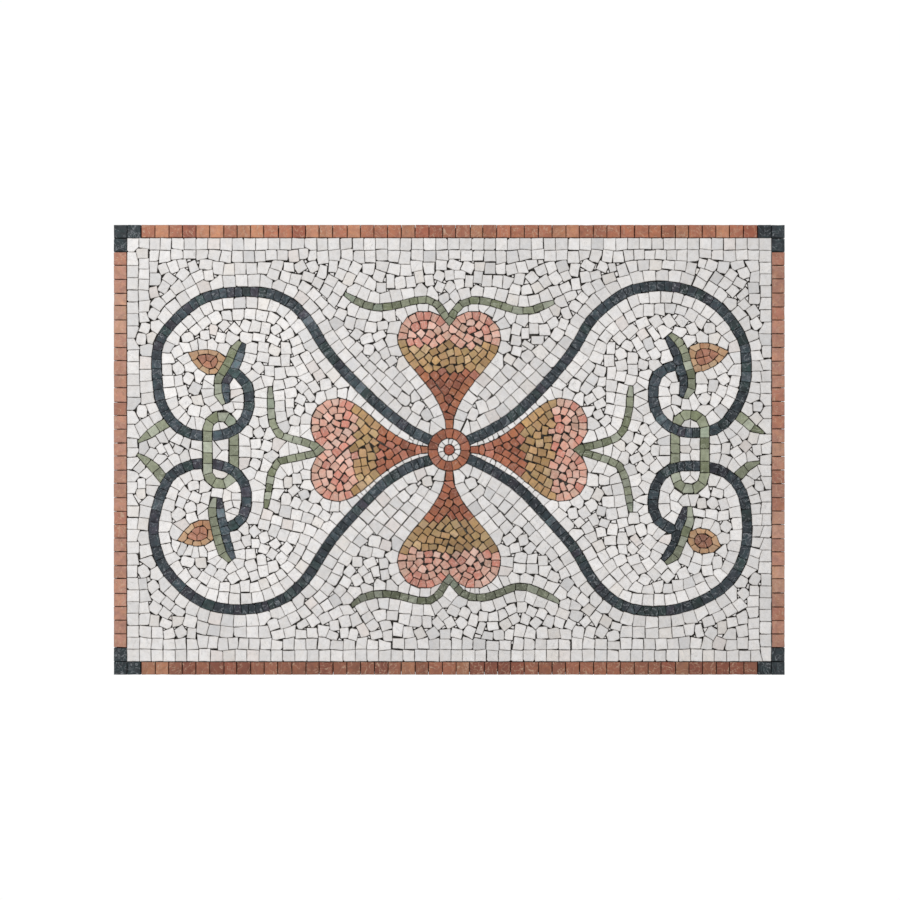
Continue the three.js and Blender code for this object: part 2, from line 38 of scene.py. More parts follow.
# Sizes of the stones
FIELD_PITCH = 10.7
HEART_PITCH = 7.7
BORDER_PITCH = 12.2
BORDER_UNEVENNESS = 0.3
CORNER_UNEVENNESS = 0.08
BAND_BREADTH = {"scroll": 8.3, "link": 8.0, "tendril": 5.6, "sepal": 6.4, "leaf": 7.4, "bud": 6.6}
BAND_STONE_LENGTH = {"scroll": 7.7, "link": 8.6, "tendril": 8.4, "sepal": 8.2, "leaf": 8.0, "bud": 5.4}
LINK_BREADTH = 8
CORE_STONE_AREA = 40
INFILL_STONE_AREA = 62
SLIT_STONE_AREA = 19
SLIT_BREADTH = 5.5
SMALLEST_SLIT = 60
SMALLEST_STONE = 6
SMALLEST_CHIP = 1.7
HOLLOWEST_CHIP = 1.45
RING_STONES = 14
EYE_STONES = 11
CENTRE_STONE_SHARE = 0.47
CENTRE_STONE_CORNERS = 9
CENTRE_GAP = 0.48
RADIAL_UNEVENNESS = 0.12

# Joints. Between two stones it is the mean of theirs.
JOINT = 0.6
BORDER_JOINT = 0.42
STONE_JOINT = 0.3
SCROLL_JOINT = 0.2
CHIP_JOINT = 0.5
CENTRE_JOINT = 0.4
FIELD_JOINT = 0.08
FIELD_JOINT_SPREAD = 0.5
HEART_JOINTS = (0.25, 0.65)

# How readily a stone is cut back where it is too near to another one
BORDER_YIELDS = 0
CENTRE_YIELDS = 0.1
ROUNDEL_YIELDS = 0.2
BAND_YIELDS = 0.25
INFILL_YIELDS = 0.6
GROUND_YIELDS = 1
CHIP_YIELDS = 12
LEAST_LEFT = 0.35

# How squarish stones are laid over an area, mostly as shares of their pitch
ROUNDING = 0.06
SEED_REACH = 1.25
COURSE_WOBBLE = 0.08
COURSE_CLEARANCE = 0.8
ADDED_CLEARANCE = 0.04
FILL_CLEARANCES = (0.98, 0.92, 0.86, 0.8, 0.75)
SMALLEST_SHARE = 0.16
HELD_WITHIN = 0.72
FREE_FROM = 0.9
FREE_OVER = 2.2
DRIFT_LENGTHS = (140, 76, 47)
OWN_TURN = 0.1
RAGGEDNESS = 1.2
BATCH = 200

# How a raster cell's outline becomes a stone's
ROUGH_OUTLINE = {"corners": 9, "smallest": 0.35, "largest": 3}
CUT_OUTLINE = {"corners": 4, "smallest": 0.3, "largest": 0.7}
CHIP_OUTLINE = {"corners": 4, "smallest": 0.2}
SHORT_SIDE = 0.36
CORNER_SHARE = 0.06
LOOSE_FROM = 0.85
RECTANGLE_SCALE = 1.09

# The body of a stone
BEVEL = 0.14
BACK_INSET = 0.3
CROWN_INSET = 1.2
CROWN_DIP = 0.02
BORDER_SPREAD = 0.2
LOWEST_SINK = 0.3
TILT = 0.012
CHIPPED_SHARE = 0.12
CHIPPED_CORNER = (0.9, 1.8)
LEAST_KNOCK = 0.12
KNOCK = 0.55
WHOLE_KNOCK = 0.25
KNOCK_SPREAD = (0.6, 1.2)
LONGEST_KNOCK = 0.4
DENT = 0.1
DENT_PLACES = (0.4, 0.6)
MOST_INSET = 0.85
WAIST_DEPTH = 0.45

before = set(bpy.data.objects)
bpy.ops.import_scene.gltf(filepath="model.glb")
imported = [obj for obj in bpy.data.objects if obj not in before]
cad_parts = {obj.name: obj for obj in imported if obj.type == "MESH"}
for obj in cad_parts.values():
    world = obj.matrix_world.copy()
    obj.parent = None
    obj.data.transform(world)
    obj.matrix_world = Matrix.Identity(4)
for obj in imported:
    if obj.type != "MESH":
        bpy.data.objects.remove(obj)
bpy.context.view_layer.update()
chance = np.random.default_rng(SEED)

low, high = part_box("mesh_backing")
BACKING_LEFT, _, BACKING_FOOT = (value / MM for value in low)
BACKING_RIGHT, BACKING_REAR, BACKING_TOP = (value / MM for value in high)
LEFT, FACE, FOOT = (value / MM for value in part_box("corner_bottom_left")[0])
RIGHT, STONE_BACK, TOP = (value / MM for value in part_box("corner_top_right")[1])

COLUMNS = math.ceil((RIGHT - LEFT) / RASTER)
ROWS = math.ceil((TOP - FOOT) / RASTER)
COLUMN_X = LEFT + (np.arange(COLUMNS) + 0.5) * RASTER
ROW_Z = FOOT + (np.arange(ROWS) + 0.5) * RASTER

HEART_MARBLES = ("rust", "ochre", "pink")
HEART_AXES = {"top": (0, 1), "right": (1, 0), "bottom": (0, -1), "left": (-1, 0)}
FIELDS = ("field_around", "field_left", "field_right")


def flat_box(node):
    """The lowest and the highest flat corner of a node."""
    return [np.array(corner)[[0, 2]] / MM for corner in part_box(node)]


def linear(colour):
    """A colour given as display values from 0 to 255, as linear light."""
    display = np.array(colour) / 255
    return np.where(display <= 0.04045, display / 12.92, ((display + 0.055) / 1.055) ** 2.4)


def front_edges(node):
    """The directed edges round a node's front faces, each as two flat points, with the stone on
    the left."""
    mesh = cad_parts[node].data
    points = np.empty(len(mesh.vertices) * 3)
    mesh.vertices.foreach_get("co", points)
    points = points.reshape(-1, 3) / MM
    front = points[:, 1] < points[:, 1].min() + FLAT_WITHIN
    flat = [tuple(point) for point in np.round(points[:, [0, 2]], 3).tolist()]
    edges = {}
    for polygon in mesh.polygons:
        if not all(front[corner] for corner in polygon.vertices):
            continue
        corners = [flat[corner] for corner in polygon.vertices]
        for start, end in zip(corners, corners[1:] + corners[:1]):
            if (end, start) in edges:
                del edges[(end, start)]
            else:
                edges[(start, end)] = True
    return list(edges)


def closed_loops(edges):
    """The edges chained into closed outlines, each an array of flat points."""
    following = dict(edges)
    found = []
    while following:
        first, point = next(iter(following.items()))
        loop = [first]
        del following[first]
        while point != first and point in following:
            loop.append(point)
            point = following.pop(point)
        found.append(np.array(loop))
    return found


def filled(edges):
    """The raster cells inside a set of closed outlines."""
    mask = np.zeros((ROWS, COLUMNS), bool)
    ends = np.array(edges).reshape(-1, 4)
    first_row = max(0, int((ends[:, [1, 3]].min() - FOOT) / RASTER) - 1)
    last_row = min(ROWS, int((ends[:, [1, 3]].max() - FOOT) / RASTER) + 2)
    for row in range(first_row, last_row):
        z = ROW_Z[row]
        crossing = ends[(ends[:, 1] <= z) != (ends[:, 3] <= z)]
        share = (z - crossing[:, 1]) / (crossing[:, 3] - crossing[:, 1])
        xs = np.sort(crossing[:, 0] + share * (crossing[:, 2] - crossing[:, 0]))
        columns = np.clip(np.ceil((xs - LEFT) / RASTER - 0.5), 0, COLUMNS).astype(int)
        for start, end in zip(columns[::2], columns[1::2]):
            mask[row, start:end] = True
    return mask


def spaced(loop, pitch):
    """Points at an even pitch along a closed outline, each with the direction of the outline there."""
    sides = np.roll(loop, -1, 0) - loop
    lengths = np.hypot(*sides.T)
    reach = np.concatenate(([0], np.cumsum(lengths)))
    count = max(3, round(reach[-1] / pitch))
    at = (np.arange(count) + 0.5) * reach[-1] / count
    side = np.searchsorted(reach, at, side="right") - 1
    along = sides[side] / lengths[side, None]
    return loop[side] + along * (at - reach[side])[:, None], along


def window(x, z, reach):
    """The raster rows and columns within a reach of a place."""
    row = (z - FOOT) / RASTER
    column = (x - LEFT) / RASTER
    half = reach / RASTER
    rows = slice(max(0, int(row - half)), min(ROWS, int(row + half) + 1))
    columns = slice(max(0, int(column - half)), min(COLUMNS, int(column + half) + 1))
    return rows, columns


def stamped(zone, seeds, zones, turns, pitch):
    """Gives each raster cell to the seed that is nearest by a nearly square measure, turned as the
    seed is."""
    nearest = np.full(zone.shape, np.inf, np.float32)
    owner = np.full(zone.shape, -1, np.int32)
    for index, (x, z) in enumerate(seeds):
        rows, columns = window(x, z, SEED_REACH * pitch)
        across = COLUMN_X[None, columns] - x
        up = ROW_Z[rows, None] - z
        cosine, sine = math.cos(turns[index]), math.sin(turns[index])
        along, beside = abs(across * cosine + up * sine), abs(up * cosine - across * sine)
        measure = np.maximum(along, beside) + ROUNDING * np.minimum(along, beside)
        closer = (measure < nearest[rows, columns]) & (zone[rows, columns] == zones[index])
        nearest[rows, columns][closer] = measure[closer]
        owner[rows, columns][closer] = index
    return owner


def centres(owner, count):
    """The middle and the number of raster cells of each owner."""
    rows, columns = np.nonzero(owner >= 0)
    labels = owner[rows, columns]
    cells = np.bincount(labels, minlength=count)
    shared = np.maximum(cells, 1)
    x = np.bincount(labels, COLUMN_X[columns], count) / shared
    z = np.bincount(labels, ROW_Z[rows], count) / shared
    return np.stack((x, z), 1), cells


def value_at(raster, place):
    """What a raster holds at a flat place, and 0 beyond its edge."""
    column = int((place[0] - LEFT) / RASTER)
    row = int((place[1] - FOOT) / RASTER)
    if 0 <= row < ROWS and 0 <= column < COLUMNS:
        return raster[row, column]
    return 0


def first_seeds(zone, outlines, pitch, courses):
    """Seeds in even courses along the outlines, then scattered ones that fill what is left."""
    taken = np.zeros(zone.shape, bool)
    seeds = []

    def take(place, clearance):
        seeds.append(place)
        block(place, clearance)

    def block(place, clearance):
        rows, columns = window(*place, clearance)
        distance = np.hypot(COLUMN_X[None, columns] - place[0], ROW_Z[rows, None] - place[1])
        taken[rows, columns] |= distance < clearance

    for course in range(courses):
        for loop in outlines:
            places, along = spaced(loop, pitch)
            inwards = np.stack((-along[:, 1], along[:, 0]), 1)
            wobble = chance.normal(0, COURSE_WOBBLE * course * pitch, places.shape)
            clearance = (COURSE_CLEARANCE + ADDED_CLEARANCE * course) * pitch
            for place in places + inwards * (course + 0.5) * pitch + wobble:
                if value_at(zone, place) > 0 and not value_at(taken, place):
                    take(place, clearance)
    for clearance in np.array(FILL_CLEARANCES) * pitch:
        taken[:] = False
        for place in seeds:
            block(place, clearance)
        rows, columns = np.nonzero((zone > 0) & ~taken)
        for pick in chance.permutation(len(rows)):
            if not taken[rows[pick], columns[pick]]:
                take(np.array((COLUMN_X[columns[pick]], ROW_Z[rows[pick]])), clearance)
    return np.array(seeds)


def laid_area(zone, outlines, pitch, rounds, courses, looseness):
    """Lays squarish stones over every zone of a raster. Near an outline they follow it, and elsewhere
    they lie loosely. Gives the owner of each raster cell, and each stone's turn and distance from the
    outline."""
    seeds = first_seeds(zone, outlines, pitch, courses)
    samples = [spaced(loop, 1) for loop in outlines]
    edge_places = np.concatenate([places for places, _ in samples])
    edge_along = np.concatenate([along for _, along in samples])
    waves = [(*chance.uniform(0, math.tau, 2), length) for length in DRIFT_LENGTHS]
    swing = chance.normal(0, OWN_TURN, len(seeds))
    for _ in range(rounds):
        loose = swing + looseness * drift(seeds, waves)
        turns, distance, nearest = turned_to_edge(seeds, edge_places, edge_along, loose, pitch)
        inwards = np.stack((-edge_along[nearest, 1], edge_along[nearest, 0]), 1)
        held = edge_places[nearest] + inwards * pitch / 2
        for index in np.flatnonzero(distance < HELD_WITHIN * pitch):
            if value_at(zone, held[index]) == value_at(zone, seeds[index]):
                seeds[index] = held[index]
        zones = [value_at(zone, seed) for seed in seeds]
        owner = stamped(zone, seeds, zones, turns, pitch)
        middles, cells = centres(owner, len(seeds))
        kept = cells * RASTER**2 > SMALLEST_SHARE * pitch**2
        seeds, swing, distance, turns = middles[kept], swing[kept], distance[kept], turns[kept]
        renumber = np.where(kept, np.cumsum(kept) - 1, -1)
        owner = np.where(owner >= 0, renumber[owner], -1)
    return owner, turns, distance


def drift(places, waves):
    """A value that wanders smoothly over the panel."""
    total = np.zeros(len(places))
    for angle, phase, length in waves:
        reach = places @ np.array((math.cos(angle), math.sin(angle)))
        total += np.sin(phase + math.tau * reach / length)
    return total


def turned_to_edge(seeds, edge_places, edge_along, swing, pitch):
    """The turn of each seed, which is along the nearest outline and swings more freely further off,
    its distance from that outline, and the nearest place on it."""
    nearest = np.empty(len(seeds), int)
    distance = np.empty(len(seeds))
    for start in range(0, len(seeds), BATCH):
        part = slice(start, start + BATCH)
        gaps = np.hypot(*(seeds[part, None] - edge_places[None]).transpose(2, 0, 1))
        nearest[part] = gaps.argmin(1)
        distance[part] = gaps.min(1)
    turns = np.arctan2(edge_along[nearest, 1], edge_along[nearest, 0])
    freedom = np.clip((distance / pitch - FREE_FROM) / FREE_OVER, 0, 1)
    return turns + swing * freedom, distance, nearest


def laid_band(mask, area, rounds=14):
    """Cuts a band into stones of one area, evenly along it. Gives the owner of each raster cell."""
    rows, columns = np.nonzero(mask)
    places = np.stack((COLUMN_X[columns], ROW_Z[rows]), 1)
    count = max(1, round(len(rows) * RASTER**2 / area))
    seeds = [places[0]]
    gap = np.hypot(*(places - seeds[0]).T)
    for _ in range(count - 1):
        seeds.append(places[gap.argmax()])
        gap = np.minimum(gap, np.hypot(*(places - seeds[-1]).T))
    seeds = np.array(seeds)
    for _ in range(rounds):
        labels = np.hypot(*(places[:, None] - seeds[None]).transpose(2, 0, 1)).argmin(1)
        for index in range(count):
            if (labels == index).any():
                seeds[index] = places[labels == index].mean(0)
    owner = np.full(mask.shape, -1, np.int32)
    owner[rows, columns] = labels
    return owner


def crossed(origin, towards):
    return origin[0] * towards[1] - origin[1] * towards[0]


def hull(points):
    """The convex outline round flat points, anticlockwise."""
    points = sorted(set(map(tuple, points)))
    sides = []
    for ordered in (points, points[::-1]):
        side = []
        for point in ordered:
            while len(side) > 1 and crossed(
                (side[-1][0] - side[-2][0], side[-1][1] - side[-2][1]),
                (point[0] - side[-2][0], point[1] - side[-2][1]),
            ) <= 1e-9:
                side.pop()
            side.append(point)
        sides += side[:-1]
    return np.array(sides)


def plainer(outline, corners, smallest, largest=np.inf):
    """Drops the flattest corners: those that cut off less than the smallest area, and while there are
    more than a number of corners also those that cut off less than the largest."""
    outline = list(map(tuple, outline))
    while len(outline) > 3:
        count = len(outline)
        areas = []
        for index in range(count):
            before, at, after = outline[index - 1], outline[index], outline[(index + 1) % count]
            arm = (at[0] - before[0], at[1] - before[1])
            areas.append(abs(crossed(arm, (after[0] - before[0], after[1] - before[1]))) / 2)
        least = int(np.argmin(areas))
        if areas[least] > (smallest if count <= corners else largest):
            break
        outline.pop(least)
    return np.array(outline)


def squarer(outline, reach):
    """Lengthens the sides next to each very short side until they meet in one corner."""
    outline = [np.array(point) for point in outline]
    index = 0
    while index < len(outline) and len(outline) > 4:
        count = len(outline)
        a, b, c, d = (outline[(index + step) % count] for step in (-1, 0, 1, 2))
        side = c - b
        if np.hypot(*side) < reach:
            first, second = b - a, c - d
            slant = crossed(first, second)
            if abs(slant) > 1e-6:
                share = crossed(side, second) / slant
                meeting = b + first * share
                if share > 0 and np.hypot(*(meeting - (b + c) / 2)) < reach:
                    outline[index] = meeting
                    outline.pop((index + 1) % count)
                    index = 0
                    continue
        index += 1
    return np.array(outline)


def cut_off(outline, normal, limit):
    """What is left of a convex outline on the near side of a line."""
    kept = []
    heights = outline @ normal - limit
    for index in range(len(outline)):
        here, there = heights[index - 1], heights[index]
        if (here <= 0) != (there <= 0):
            side = outline[index] - outline[index - 1]
            kept.append(outline[index - 1] + side * here / (here - there))
        if there <= 0:
            kept.append(outline[index])
    return np.array(kept)


def widest_gap(first, second):
    """How far apart two convex outlines lie, and the direction of that gap from first to second."""
    best = (-np.inf, None)
    for outline, other, sign in ((first, second, 1), (second, first, -1)):
        sides = np.roll(outline, -1, 0) - outline
        lengths = np.maximum(np.hypot(*sides.T), 1e-9)
        normals = np.stack((sides[:, 1], -sides[:, 0]), 1) / lengths[:, None]
        gaps = (normals @ other.T).min(1) - (normals * outline).sum(1)
        at = int(gaps.argmax())
        if gaps[at] > best[0]:
            best = (gaps[at], normals[at] * sign)
    return best


def part_stones(stones):
    """Cuts back stones that touch or overlap, so that an open joint stays between any two."""
    middles = np.array([stone["outline"].mean(0) for stone in stones])
    arms = [stone["outline"] - middle for stone, middle in zip(stones, middles)]
    reach = np.array([np.hypot(*arm.T).max() for arm in arms])
    order = np.argsort(middles[:, 0])
    xs = middles[order, 0]
    for position, index in enumerate(order):
        last = np.searchsorted(xs, xs[position] + 2 * reach.max())
        near = order[position + 1 : last]
        near = near[np.hypot(*(middles[near] - middles[index]).T) < reach[near] + reach[index] + 1]
        for other in near:
            first, second = stones[index], stones[other]
            if first["yields"] == second["yields"] == BORDER_YIELDS:
                continue
            joint = (first["joint"] + second["joint"]) / 2
            gap, normal = widest_gap(first["outline"], second["outline"])
            if gap >= joint or normal is None:
                continue
            share = first["yields"] / (first["yields"] + second["yields"])
            first_limit = (first["outline"] @ normal).max() - share * (joint - gap)
            second_limit = (second["outline"] @ normal).min() + (1 - share) * (joint - gap)
            cuts = ((first, normal, first_limit), (second, -normal, -second_limit))
            for stone, direction, limit in cuts:
                left = cut_off(stone["outline"], direction, limit)
                if len(left) > 2 and area_of(left) > LEAST_LEFT * area_of(stone["outline"]):
                    stone["outline"] = left


def area_of(outline):
    x, z = outline.T
    return abs(x @ np.roll(z, -1) - z @ np.roll(x, -1)) / 2


def turned(outline, angle):
    middle = outline.mean(0)
    cosine, sine = math.cos(angle), math.sin(angle)
    turn = np.array(((cosine, sine), (-sine, cosine)))
    return middle + (outline - middle) @ turn


stones = []


def add_stone(outline, piece, marble, joint, yields):
    stones.append(dict(outline=outline, piece=piece, marble=marble, joint=joint, yields=yields))


def fitted_rectangle(places, turn):
    """The turned rectangle that spreads about as far along and across as the places do."""
    middle = places.mean(0)
    along = np.array((math.cos(turn), math.sin(turn)))
    across = np.array((-along[1], along[0]))
    spreads = [((places - middle) @ axis).var() for axis in (along, across)]
    half = [RECTANGLE_SCALE * math.sqrt(3 * spread) for spread in spreads]
    signs = ((-1, -1), (1, -1), (1, 1), (-1, 1))
    return np.array([middle + a * half[0] * along + b * half[1] * across for a, b in signs])


def cell_corners(rows, columns):
    """The corners of some raster cells at the left and the right end of each row."""
    points = []
    for row in range(rows.min(), rows.max() + 1):
        inside = columns[rows == row]
        if len(inside):
            z = FOOT + row * RASTER
            for x in (LEFT + inside.min() * RASTER, LEFT + (inside.max() + 1) * RASTER):
                points += [(x, z), (x, z + RASTER)]
    return points


def add_cells(owner, describe, corners, smallest, wobble, turns=None, loose=None):
    """Adds a stone for each owner in a raster. describe(middle) gives its piece, marble, joint and
    yields. A stone keeps the shape of its cells, but a loose one with too many corners becomes a
    rectangle."""
    rows, columns = np.nonzero(owner >= 0)
    labels = owner[rows, columns]
    order = np.argsort(labels, kind="stable")
    rows, columns, labels = rows[order], columns[order], labels[order]
    starts = np.flatnonzero(np.diff(labels, prepend=-1))
    for start, end in zip(starts, [*starts[1:], len(labels)]):
        area = (end - start) * RASTER**2
        if area < SMALLEST_STONE:
            continue
        cell_rows, cell_columns = rows[start:end], columns[start:end]
        around = plainer(hull(cell_corners(cell_rows, cell_columns)), **ROUGH_OUTLINE)
        outline = squarer(around, SHORT_SIDE * math.sqrt(area))
        outline = plainer(outline, corners, smallest, CORNER_SHARE * area)
        if loose is not None and loose[labels[start]] and len(outline) > corners:
            places = np.stack((COLUMN_X[cell_columns], ROW_Z[cell_rows]), 1)
            outline = fitted_rectangle(places, turns[labels[start]])
        outline = turned(outline, chance.normal(0, wobble))
        add_stone(outline, *describe(outline.mean(0)))


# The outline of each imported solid, as edges and as raster cells
outlines = {node: front_edges(node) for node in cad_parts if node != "mesh_backing"}
masks = {node: filled(edges) for node, edges in outlines.items()}


def lay_field():
    """The white stones round the ornament, in even courses next to it and loosely further out."""
    zone = np.zeros((ROWS, COLUMNS), np.int8)
    loops = []
    for number, node in enumerate(FIELDS, 1):
        zone[masks[node]] = number
        loops += closed_loops(outlines[node])
    loops.sort(key=lambda loop: -np.ptp(loop, 0).sum())
    open_zone = np.where(slits(zone > 0), 0, zone)
    owner, turns, distance = laid_area(
        open_zone, loops, FIELD_PITCH, rounds=22, courses=3, looseness=0.35
    )

    def describe(middle):
        node = FIELDS[max(value_at(zone, middle), 1) - 1]
        joint = FIELD_JOINT + FIELD_JOINT_SPREAD * chance.random() ** 2
        return node, "white", joint, GROUND_YIELDS

    loose = distance > LOOSE_FROM * FIELD_PITCH
    add_cells(owner, describe, corners=4, smallest=1.2, wobble=0.022, turns=turns, loose=loose)
    owner = laid_band(slits(zone > 0), SLIT_STONE_AREA)
    add_cells(owner, describe, corners=4, smallest=0.5, wobble=0.02)


def slits(mask):
    """The long parts of a mask that are narrower than a small stone."""
    steps = int(SLIT_BREADTH / 2 / RASTER)
    narrow = mask & ~spread(shrunk(mask, steps), steps + 1)
    return islands(narrow, SMALLEST_SLIT) > 0


def islands(mask, smallest):
    """A raster with a number for each connected part of a mask that is larger than an area."""
    label = np.where(mask, np.arange(1, mask.size + 1).reshape(mask.shape), 0)
    while True:
        wider = label.copy()
        for axis in (0, 1):
            for step in (-1, 1):
                wider = np.maximum(wider, np.roll(wider, step, axis))
        wider *= mask
        if (wider == label).all():
            break
        label = wider
    parts, place, cells = np.unique(label, return_inverse=True, return_counts=True)
    large = (parts > 0) & (cells * RASTER**2 > smallest)
    return np.where(large[place].reshape(mask.shape), label, 0)


def lay_chips():
    """Small wedges of white marble in the widest gaps between the loose stones of the ground."""
    sides = [np.hstack((stone["outline"], np.roll(stone["outline"], -1, 0))) for stone in stones]
    covered = spread(filled(np.concatenate(sides)), 1)
    for node in FIELDS:
        free = masks[node] & ~covered
        numbers = islands(spread(shrunk(free, 1), 1), SMALLEST_CHIP)
        for number in np.unique(numbers[numbers > 0]):
            rows, columns = np.nonzero(numbers == number)
            outline = plainer(hull(cell_corners(rows, columns)), **CHIP_OUTLINE)
            if area_of(outline) < HOLLOWEST_CHIP * len(rows) * RASTER**2:
                add_stone(outline, node, "white", CHIP_JOINT, CHIP_YIELDS)


def spread(mask, steps):
    """The mask grown by some raster cells, all but equally far in every direction."""
    mask = mask.copy()
    for step in range(steps):
        before = mask.copy()
        mask[1:] |= before[:-1]
        mask[:-1] |= before[1:]
        rows = mask.copy() if step % 2 else before
        mask[:, 1:] |= rows[:, :-1]
        mask[:, :-1] |= rows[:, 1:]
    return mask


def shrunk(mask, steps):
    return ~spread(~mask, steps)


def lay_heart(name):
    """One heart: a course follows its outline and the rest lie loosely. The marbles meet raggedly."""
    nodes = [f"heart_{name}_{marble}" for marble in HEART_MARBLES]
    whole = shrunk(spread(np.any([masks[node] for node in nodes], 0), 2), 2)
    edges = outer_outline(nodes)
    owner, turns, distance = laid_area(
        whole.astype(np.int8), [edges], HEART_PITCH, rounds=16, courses=1, looseness=0.5
    )
    axis = np.array(HEART_AXES[name])
    limits = [max(np.array(outlines[node]).reshape(-1, 2) @ axis) for node in nodes[:2]]

    def describe(middle):
        reach = middle @ axis + chance.normal(0, RAGGEDNESS)
        place = int(reach > limits[0]) + int(reach > limits[1])
        return nodes[place], HEART_MARBLES[place], chance.uniform(*HEART_JOINTS), GROUND_YIELDS

    loose = distance > LOOSE_FROM * HEART_PITCH
    add_cells(owner, describe, corners=4, smallest=0.9, wobble=0.025, turns=turns, loose=loose)


def outer_outline(nodes):
    """One closed outline round the nodes of a heart, which meet at straight joints."""
    loops = [closed_loops(outlines[node])[0] for node in nodes]
    points = np.concatenate(loops)
    bearing = np.arctan2(*(points - points.mean(0)).T[::-1])
    return points[np.argsort(bearing)]


def lay_bands():
    """Scrolls, links, tendrils, sepals, leaves and buds, each one stone wide."""
    for node, mask in masks.items():
        kind = node.split("_")[0]
        if kind not in BAND_BREADTH:
            continue
        if node.startswith("bud_core"):
            area, marble = CORE_STONE_AREA, "core"
        else:
            area = BAND_BREADTH[kind] * BAND_STONE_LENGTH[kind]
            marble = {"scroll": "dark", "bud": "bud"}.get(kind, "green")
        joint = SCROLL_JOINT if kind == "scroll" else STONE_JOINT
        described = (node, marble, joint, BAND_YIELDS)
        owner = laid_band(mask, area)
        add_cells(owner, lambda _: described, corners=5, smallest=1, wobble=0.012)


def lay_infills():
    """Two columns of three stones inside each link, and the few small ones in its two ends."""
    for name in ("left", "right"):
        node = f"infill_{name}_link"
        described = (node, "white", STONE_JOINT, INFILL_YIELDS)
        owner = laid_band(masks[node] | link_ends(name), INFILL_STONE_AREA)
        add_cells(owner, lambda _: described, corners=4, smallest=1, wobble=0.02)


def link_ends(name):
    """The raster cells inside a chain link that no solid covers: its two round ends."""
    low, high = flat_box(f"link_{name}")
    middle_low, middle_high = flat_box(f"link_middle_{name}")
    low, high = np.minimum(low, middle_low), np.maximum(high, middle_high)
    centre = (low + high) / 2
    radius = (high[0] - low[0]) / 2
    straight = (high[1] - low[1]) / 2 - radius
    across = COLUMN_X[None] - centre[0]
    beyond = np.maximum(abs(ROW_Z[:, None] - centre[1]) - straight, 0)
    inside = np.hypot(across, beyond) < radius - LINK_BREADTH - JOINT
    return inside & ~spread(np.any(list(masks.values()), 0), 1)


def lay_border():
    """Straight courses of squarish stones, each a little off its neighbour in size and place."""
    for side in ("top", "bottom", "left", "right"):
        node = f"border_{side}"
        low, high = flat_box(node)
        along = int(side in ("left", "right"))
        count = round((high[along] - low[along]) / BORDER_PITCH)
        ends = np.linspace(low[along], high[along] + JOINT, count + 1)
        ends[1:-1] += chance.normal(0, BORDER_UNEVENNESS, count - 1)
        for start, end in zip(ends, ends[1:]):
            sides = [low.copy(), high.copy()]
            sides[0][along] = start
            sides[1][along] = end - BORDER_JOINT
            add_block(*sides, node, "pale_border" if along else "border")
    for node in masks:
        if node.startswith("corner"):
            low, high = flat_box(node)
            outwards = np.sign(low + high)
            place = np.where(outwards > 0, high, low)
            for shift in ((0, 0), (1, 0), (0, 1)):
                near = place - outwards * np.array(shift) * BORDER_PITCH
                far = near - outwards * (BORDER_PITCH - BORDER_JOINT)
                add_block(np.minimum(near, far), np.maximum(near, far), node, "corner")


def add_block(low, high, node, marble):
    """A squarish stone between two corners, with each of its own corners a little inside theirs."""
    x0, z0 = low
    x1, z1 = high
    outline = np.array(((x0, z0), (x1, z0), (x1, z1), (x0, z1)))
    inwards = np.sign(outline.mean(0) - outline)
    outline = outline + inwards * abs(chance.normal(0, CORNER_UNEVENNESS, outline.shape))
    add_stone(outline, node, marble, STONE_JOINT, BORDER_YIELDS)


def lay_roundel():
    """A ring of radial stones round a ring of small ones and one round stone."""
    radius, eye = (flat_box(node)[1][0] for node in ("roundel_ring", "roundel_eye"))
    centre = CENTRE_STONE_SHARE * eye
    for count, inner, outer, node, marble in (
        (RING_STONES, eye + JOINT, radius, "roundel_ring", "rust"),
        (EYE_STONES, centre + CENTRE_GAP, eye, "roundel_eye", "white"),
    ):
        shifts = chance.uniform(-RADIAL_UNEVENNESS, RADIAL_UNEVENNESS, count)
        bounds = (np.arange(count) + shifts) * math.tau / count
        for start, end in zip(bounds, np.append(bounds[1:], bounds[0] + math.tau)):
            middle = (start + end) / 2
            reach = np.array((inner, outer, outer, outer, inner))
            outline = polar(reach, np.array((start, start, middle, end, end)))
            add_stone(outline, node, marble, STONE_JOINT, ROUNDEL_YIELDS)
    angles = (np.arange(CENTRE_STONE_CORNERS) + 0.3) * math.tau / CENTRE_STONE_CORNERS
    reach = centre * chance.uniform(0.93, 1, CENTRE_STONE_CORNERS)
    add_stone(polar(reach, angles), "centre_stone", "red", CENTRE_JOINT, CENTRE_YIELDS)


def polar(reach, angles):
    """Flat places at some distances from the middle and some angles."""
    return np.stack((reach * np.cos(angles), reach * np.sin(angles)), 1)


lay_field()
for heart in HEART_AXES:
    lay_heart(heart)
lay_bands()
lay_infills()
lay_border()
lay_roundel()
part_stones(stones)
lay_chips()
part_stones(stones)
for stone in stones:
    stone["outline"] = plainer(stone["outline"], **CUT_OUTLINE)


def jagged(outline, knock, chipped):
    """The outline with its corners knocked off and its sides a little uneven. It stays inside."""
    points = []
    count = len(outline)
    for index in range(count):
        before, at, after = outline[index - 1], outline[index], outline[(index + 1) % count]
        bounds = (LEAST_KNOCK, knock) if chance.random() > chipped else CHIPPED_CORNER
        chip = chance.uniform(*bounds)
        for other in (before, after):
            arm = other - at
            length = max(np.hypot(*arm), 1e-6)
            reach = min(chip * chance.uniform(*KNOCK_SPREAD), LONGEST_KNOCK * length)
            points.append(at + arm / length * reach)
        arm = after - at
        length = max(np.hypot(*arm), 1e-6)
        inwards = np.array((-arm[1], arm[0])) / length
        along = chance.uniform(*DENT_PLACES)
        points.append(at + arm * along + inwards * abs(chance.normal(0, DENT)))
    return np.array(points)


def inset(outline, distance):
    """The outline moved inwards, towards the middle of the stone."""
    middle = outline.mean(0)
    arms = middle - outline
    lengths = np.maximum(np.hypot(*arms.T), 1e-6)
    return outline + arms * np.minimum(distance / lengths, MOST_INSET)[:, None]


